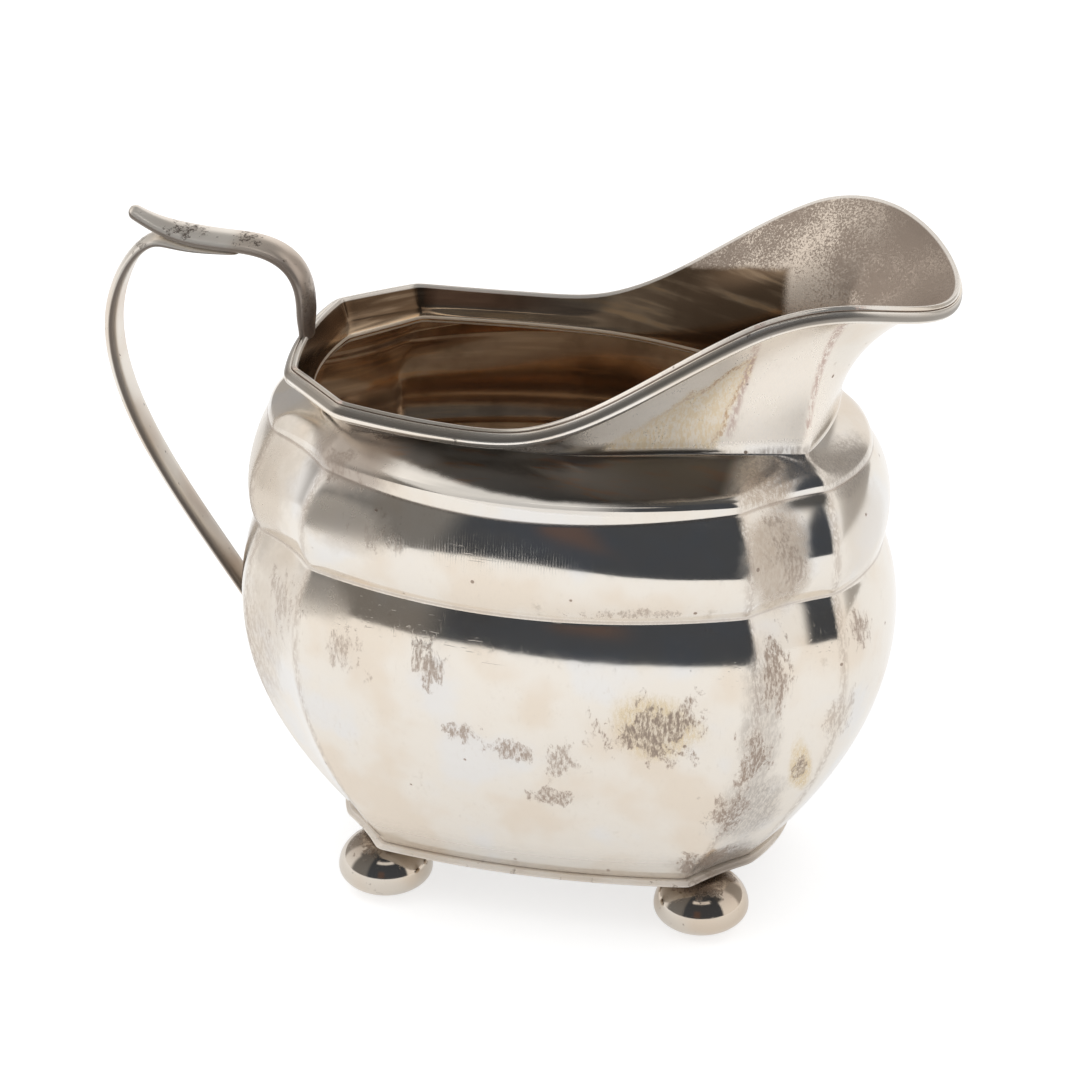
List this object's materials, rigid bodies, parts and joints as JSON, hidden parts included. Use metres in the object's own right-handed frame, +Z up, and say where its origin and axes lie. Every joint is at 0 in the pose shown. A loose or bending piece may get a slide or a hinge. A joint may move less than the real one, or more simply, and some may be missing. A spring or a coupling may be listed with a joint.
{
  "type": "milk jug",
  "caption": "Small silver milk jug: oblong panelled body in tiers, flared pouring lip, beaded rim, high loop handle and ball feet.",
  "frame": {"origin": "on the surface that the feet stand on, under the middle of the jug's length and width", "axes": "+Z up, +X along the length towards the spout, +Y to the left seen from the handle"},
  "size_m": [0.1274, 0.0684, 0.1037],
  "materials": {
    "silver_body": "hand-polished silver with brown-grey tarnish, worn edges and fine scratches",
    "silver_plate": "polished silver, darker with tarnish along the moulded edge",
    "silver_wire": "polished silver, tarnish in the groove under the bead",
    "silver_handle": "worn satin silver with dark pits near the solder joints",
    "silver_feet": "bright polished silver"
  },
  "bodies": {
    "root": {"body_shell": "silver_body", "base_plate": "silver_plate", "rim_wire": "silver_wire", "handle_bar": "silver_handle", "handle_strap": "silver_handle", "foot_spout_left": "silver_feet", "foot_spout_right": "silver_feet", "foot_handle_left": "silver_feet", "foot_handle_right": "silver_feet"}
  },
  "joints": []
}
